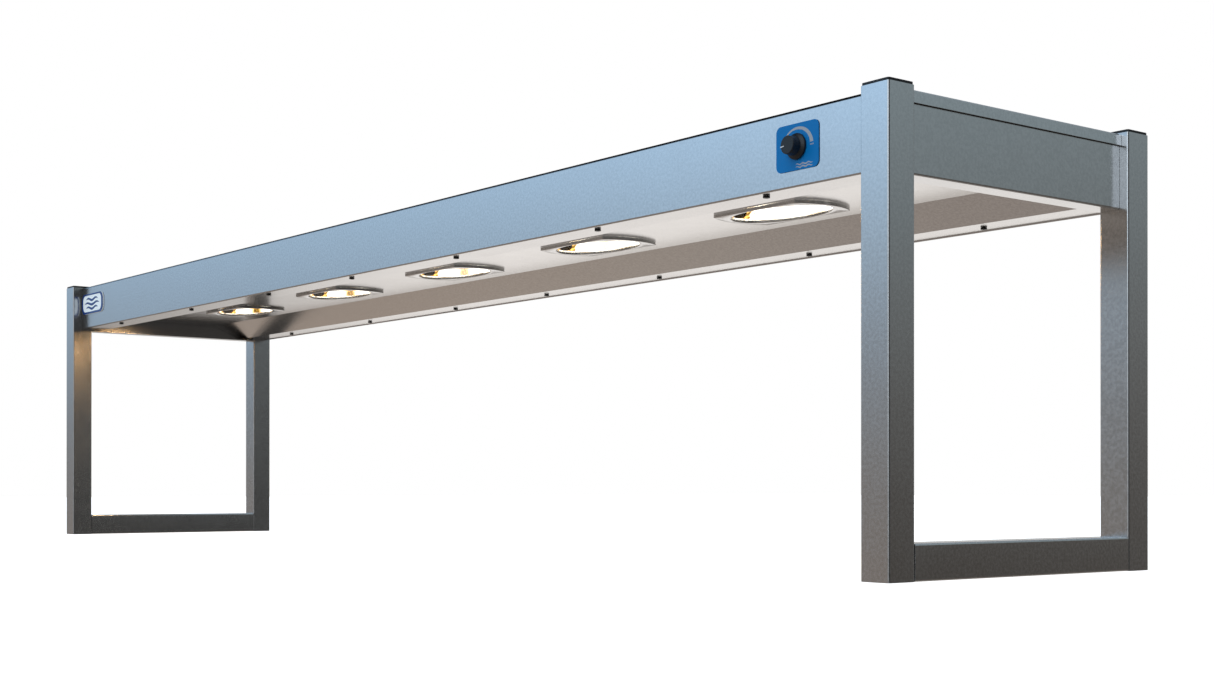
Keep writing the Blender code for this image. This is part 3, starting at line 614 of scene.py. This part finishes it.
# ---------------------------------------------------------------------------------------------
# Dial, knob and badge
# ---------------------------------------------------------------------------------------------
PRINT_FRONT = 0.00008       # how far a print stands over its plate
PRINT_BACK = 0.00005        # and how far it goes in
SCALE_RADII = (0.0197, 0.0177)      # of the printed arc, along x and z
SCALE_START = 168.0         # degrees, anticlockwise from three o'clock
SCALE_SPAN = 162.0
SCALE_HALF = (0.0004, 0.0022)       # half the arc's width at its start and at its end
TICK_START = 0.0174
TICK_PITCH = 0.0014
TICK_WIDTH = 0.0007
TICK_Z = (0.0004, -0.0012)
DIAL_WAVES = (0.0095, 0.0052, 0.0026)       # x from the middle, z over the lower edge, then pitch


def wave(x, z, reach, swing, half_width, waves):
    """The outline of a wavy stroke that tapers to its two ends."""
    upper, lower = [], []
    steps = 32
    for i in range(steps + 1):
        t = i / steps
        px = x + reach * (2 * t - 1)
        pz = z + swing * math.sin(2 * math.pi * waves * t)
        half = half_width * math.sin(math.pi * t) ** 0.5 + 0.0001
        upper.append((px, pz + half))
        lower.append((px, pz - half))
    return upper + lower[::-1]


def make_dial():
    """The dial's blue plate with its arc, ticks and two plain waves."""
    low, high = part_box("dial_plate")
    front = low.y

    def print_on(name, outline):
        prism(name, outline, front - PRINT_FRONT, front + PRINT_BACK, DIAL_PALE, GANTRY)

    paint("dial_plate", DIAL_BLUE)
    wave_x, wave_z, wave_pitch = DIAL_WAVES
    for k in range(2):
        print_on("dial_wave_%d" % (k + 1),
                 wave((low.x + high.x) / 2 + wave_x, low.z + wave_z - wave_pitch * k, reach=0.0115,
                      swing=0.0006, half_width=0.0006, waves=3.0))

    knob_low, knob_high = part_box("dimmer_knob")
    kx = (knob_low.x + knob_high.x) / 2
    kz = (knob_low.z + knob_high.z) / 2
    outer, inner = [], []
    steps = 40
    radius_x, radius_z = SCALE_RADII
    start_half, end_half = SCALE_HALF
    for i in range(steps + 1):
        share = i / steps
        angle = math.radians(SCALE_START - SCALE_SPAN * share)
        half = start_half + (end_half - start_half) * share
        for points, side in ((outer, half), (inner, -half)):
            points.append((kx + (radius_x + side) * math.cos(angle),
                           kz + (radius_z + side) * math.sin(angle)))
    print_on("dial_scale", outer + inner[::-1])
    tick_top, tick_foot = (kz + z for z in TICK_Z)
    for i in range(4):
        x = kx + TICK_START + i * TICK_PITCH
        print_on("dial_tick_%d" % (i + 1), [(x, tick_top), (x + TICK_WIDTH, tick_top),
                                            (x + TICK_WIDTH, tick_foot), (x, tick_foot)])


make_dial()
paint("dimmer_knob", KNOB_BLACK)
paint("knob_pointer", POINTER)
paint("dimmer_shaft", BRASS)
paint("dimmer_nut", BRASS)
paint("dimmer_body", GREY)
paint("terminal_block", CERAMIC)
paint("wiring_loom", SLEEVE)
paint("cable_grommet", RUBBER)


BADGE_CORNER = 0.013
BADGE_RAISED = (0.0004, 0.0003)     # how far the border and the waves stand over the badge
BADGE_SUNK = 0.0002
BADGE_FIELD = (0.0130, 0.0066)      # how much smaller than the badge the pale field is
BADGE_FIELD_SHIFT = (-0.0012, 0.0005)
BADGE_FIELD_CORNER = 0.010
BADGE_WAVE_PITCH = 0.0078
BADGE_WAVE_SHIFT = -0.002
BADGE_WAVE_REACH = (0.034, 0.027)   # of the middle wave, and of the upper and lower ones


def make_badge():
    """A pale badge with round corners, a dark border and three plain heat waves."""
    low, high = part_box("badge")
    cx = (low.x + high.x) / 2
    cz = (low.z + high.z) / 2
    width = high.x - low.x
    height = high.z - low.z
    front = low.y
    border_raised, wave_raised = BADGE_RAISED
    paint("badge", BADGE_WHITE)
    field = rounded_outline(cx + BADGE_FIELD_SHIFT[0], cz + BADGE_FIELD_SHIFT[1], width - BADGE_FIELD[0],
                            height - BADGE_FIELD[1], BADGE_FIELD_CORNER)
    prism("badge_border", rounded_outline(cx, cz, width, height, BADGE_CORNER), front - border_raised,
          front + BADGE_SUNK, BADGE_BLUE, GANTRY, field)
    for k in range(3):
        stroke = wave(cx + BADGE_WAVE_SHIFT, cz + BADGE_WAVE_PITCH * (1 - k),
                      BADGE_WAVE_REACH[abs(k - 1)], swing=0.0019, half_width=0.0021, waves=1.5)
        prism("badge_wave_%d" % (k + 1), stroke, front - wave_raised, front + BADGE_SUNK, BADGE_BLUE,
              GANTRY)


make_badge()


# ---------------------------------------------------------------------------------------------
# Studio: floor, surroundings and lights
# ---------------------------------------------------------------------------------------------
FLOOR_HALF = 12.0
FLOOR_Z = -0.0005


def make_floor():
    """A plain white floor that takes no shadow and isn't seen in the steel."""
    mesh = bpy.data.meshes.new("floor")
    corners = [(sx * FLOOR_HALF, sy * FLOOR_HALF, FLOOR_Z)
               for sx, sy in ((-1, -1), (1, -1), (1, 1), (-1, 1))]
    mesh.from_pydata(corners, [], [(0, 1, 2, 3)])
    floor = bpy.data.objects.new("floor", mesh)
    scene.collection.objects.link(floor)
    made = bpy.data.materials.new("floor_white")
    made.use_nodes = True
    shader = made.node_tree.nodes["Principled BSDF"]
    shader.inputs["Base Color"].default_value = (0.9, 0.9, 0.9, 1.0)
    shader.inputs["Roughness"].default_value = 0.9
    shader.inputs["Emission Color"].default_value = (1.0, 1.0, 1.0, 1.0)
    shader.inputs["Emission Strength"].default_value = 1.0
    mesh.materials.append(made)
    floor.visible_glossy = False
    floor.visible_diffuse = False
    floor.visible_transmission = False
    floor.visible_shadow = False


make_floor()


# The studio's brightness by direction. Each column is an azimuth and its stops, from straight down
# to straight up: elevation in degrees, then red, green and blue. Between columns it blends.
STUDIO_STRENGTH = 4.0
STUDIO = [
    (22.0, [(-90, 0.12, 0.11, 0.1), (-20, 0.06, 0.056, 0.053), (1, 0.06, 0.06, 0.06),
            (4.4, 0.15, 0.16, 0.16), (12, 0.26, 0.31, 0.335), (30, 0.3, 0.35, 0.38),
            (90, 0.5, 0.6, 0.7)]),
    (50.0, [(-90, 0.2, 0.18, 0.165), (-20, 0.1, 0.09, 0.08), (-3, 0.082, 0.073, 0.065),
            (1, 0.118, 0.108, 0.1), (6, 0.2, 0.21, 0.21), (13, 0.3, 0.37, 0.4),
            (30, 0.34, 0.41, 0.45), (90, 0.5, 0.6, 0.7)]),
    (85.0, [(-90, 0.26, 0.24, 0.22), (-10, 0.26, 0.24, 0.22), (8, 0.24, 0.26, 0.27),
            (30, 0.26, 0.3, 0.33), (90, 0.5, 0.6, 0.7)]),
    (118.0, [(-90, 0.3, 0.27, 0.25), (-40, 0.37, 0.32, 0.29), (-26, 0.55, 0.5, 0.46),
            (-18, 1.02, 0.99, 0.96), (-4, 1.05, 1.02, 0.99), (3, 0.85, 0.83, 0.8),
            (14, 0.4, 0.42, 0.44), (90, 0.5, 0.6, 0.7)]),
    (147.0, [(-90, 0.3, 0.27, 0.25), (-40, 0.37, 0.32, 0.29), (-26, 0.5, 0.45, 0.4),
            (-18, 1.0, 0.96, 0.93), (-4, 1.02, 0.98, 0.95), (3, 0.8, 0.78, 0.76),
            (12, 0.4, 0.42, 0.44), (20, 0.05, 0.05, 0.055), (90, 0.05, 0.05, 0.055)]),
    (160.0, [(-90, 0.3, 0.27, 0.25), (-21, 0.46, 0.38, 0.32), (-10, 0.42, 0.4, 0.38),
            (0, 0.38, 0.37, 0.36), (11, 0.26, 0.3, 0.34), (19, 0.04, 0.04, 0.05),
            (90, 0.04, 0.04, 0.05)]),
    (185.0, [(-90, 0.28, 0.25, 0.23), (-5, 0.3, 0.26, 0.23), (2, 0.26, 0.26, 0.27),
            (8, 0.44, 0.59, 0.73), (15, 0.52, 0.74, 0.98), (22, 0.1, 0.16, 0.24),
            (28, 0.02, 0.02, 0.025), (90, 0.02, 0.02, 0.025)]),
    (202.0, [(-90, 0.28, 0.25, 0.23), (-3, 0.3, 0.25, 0.215), (2, 0.28, 0.29, 0.3),
            (6, 0.44, 0.6, 0.77), (13, 0.64, 0.98, 1.36), (24, 0.6, 0.92, 1.25),
            (31, 0.03, 0.03, 0.035), (90, 0.03, 0.03, 0.035)]),
    (228.0, [(-90, 0.26, 0.24, 0.22), (-30, 0.3, 0.26, 0.23), (-3, 0.29, 0.24, 0.205),
            (2, 0.265, 0.255, 0.245), (4.4, 0.31, 0.33, 0.36), (8, 0.45, 0.57, 0.68),
            (13, 0.72, 1.06, 1.45), (30, 0.82, 1.2, 1.6), (45, 0.3, 0.35, 0.4),
            (90, 0.2, 0.24, 0.28)]),
    (245.0, [(-90, 0.26, 0.24, 0.22), (-3, 0.25, 0.225, 0.2), (3, 0.24, 0.245, 0.25),
            (9, 0.4, 0.48, 0.55), (15, 0.6, 0.8, 1.0), (45, 0.6, 0.8, 1.0), (90, 0.4, 0.5, 0.6)]),
    (280.0, [(-90, 0.26, 0.24, 0.22), (-3, 0.26, 0.24, 0.22), (5, 0.6, 0.66, 0.72),
            (15, 1.3, 1.5, 1.7), (50, 1.5, 1.75, 2.0), (90, 0.6, 0.7, 0.8)]),
    (300.0, [(-90, 0.26, 0.24, 0.22), (-6, 0.32, 0.3, 0.28), (3, 0.8, 0.86, 0.92),
            (12, 1.5, 1.72, 1.94), (50, 1.6, 1.85, 2.1), (90, 0.6, 0.7, 0.8)]),
    (314.0, [(-90, 0.2, 0.19, 0.18), (-6, 0.14, 0.14, 0.14), (3, 0.18, 0.19, 0.2),
            (12, 0.24, 0.28, 0.32), (50, 0.4, 0.46, 0.52), (90, 0.6, 0.7, 0.8)]),
    (330.0, [(-90, 0.14, 0.13, 0.12), (0, 0.05, 0.05, 0.05), (20, 0.06, 0.06, 0.06),
            (60, 0.3, 0.34, 0.38), (90, 0.5, 0.6, 0.7)]),
    (368.0, [(-90, 0.14, 0.13, 0.12), (0, 0.045, 0.045, 0.045), (20, 0.06, 0.06, 0.06),
            (60, 0.3, 0.34, 0.38), (90, 0.5, 0.6, 0.7)]),
]


def make_world():
    """The studio's soft light by direction, for lighting and reflections. The camera sees white."""
    world = bpy.data.worlds.new("studio")
    scene.world = world
    world.use_nodes = True
    tree = Nodes(world.node_tree)
    background = world.node_tree.nodes["Background"]
    coords = tree.add("ShaderNodeTexCoord").outputs["Generated"]
    split = tree.add("ShaderNodeSeparateXYZ")
    tree.link(coords, split.inputs[0])
    height = split.outputs[2]
    turn = tree.math("ARCTAN2", split.outputs[1], split.outputs[0])
    azimuth = tree.math("MULTIPLY", turn, 180.0 / math.pi)
    first = STUDIO[0][0]
    behind = tree.math("LESS_THAN", azimuth, first)
    azimuth = tree.math("ADD", azimuth, tree.math("MULTIPLY", behind, 360.0))

    def heights(stops):
        """A colour by elevation: (degrees, red, green, blue) from the nadir up."""
        ramp = tree.add("ShaderNodeValToRGB")
        ramp.color_ramp.interpolation = "LINEAR"
        elements = ramp.color_ramp.elements
        for i, (degrees, *colour) in enumerate([stops[0], stops[-1]] + stops[1:-1]):
            position = 0.5 + 0.5 * math.sin(math.radians(degrees))
            element = elements[i] if i < 2 else elements.new(position)
            element.position = position
            element.color = (*[c / STUDIO_STRENGTH for c in colour], 1.0)
        tree.link(tree.ramp(height, -1.0, 1.0, 0.0, 1.0, False), ramp.inputs["Fac"])
        return ramp.outputs["Color"]

    colour = heights(STUDIO[0][1])
    columns = STUDIO[1:] + [(first + 360.0, STUDIO[0][1])]
    last = first
    for column, stops in columns:
        colour = tree.mix(tree.ramp(azimuth, last, column), colour, heights(stops))
        last = column
    tree.link(colour, background.inputs["Color"])
    background.inputs["Strength"].default_value = STUDIO_STRENGTH

    seen = tree.add("ShaderNodeLightPath").outputs["Is Camera Ray"]
    white = tree.add("ShaderNodeBackground")
    white.inputs["Color"].default_value = (1.0, 1.0, 1.0, 1.0)
    either = tree.add("ShaderNodeMixShader")
    tree.link(seen, either.inputs[0])
    tree.link(background.outputs[0], either.inputs[1])
    tree.link(white.outputs[0], either.inputs[2])
    tree.link(either.outputs[0], world.node_tree.nodes["World Output"].inputs["Surface"])


make_world()


LAMP_LIGHT_DROP = 0.001     # how far under its bezel a lamp's light hangs
LAMP_LIGHT_SIZE = (0.11, 0.06)
LAMP_LIGHT_POWER = 0.30
LAMP_LIGHT_COLOUR = (1.0, 0.56, 0.20)


def make_lamp_light(number):
    """A lamp's warm light, shining straight down."""
    low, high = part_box("bezel_%d" % number)
    data = bpy.data.lights.new("lamp_light_%d" % number, "AREA")
    data.shape = "ELLIPSE"
    data.size, data.size_y = LAMP_LIGHT_SIZE
    data.energy = LAMP_LIGHT_POWER
    data.color = LAMP_LIGHT_COLOUR
    made = bpy.data.objects.new(data.name, data)
    scene.collection.objects.link(made)
    made.location = ((low.x + high.x) / 2, (low.y + high.y) / 2, low.z - LAMP_LIGHT_DROP)
    made.visible_camera = False


for lamp in LAMPS:
    make_lamp_light(lamp)
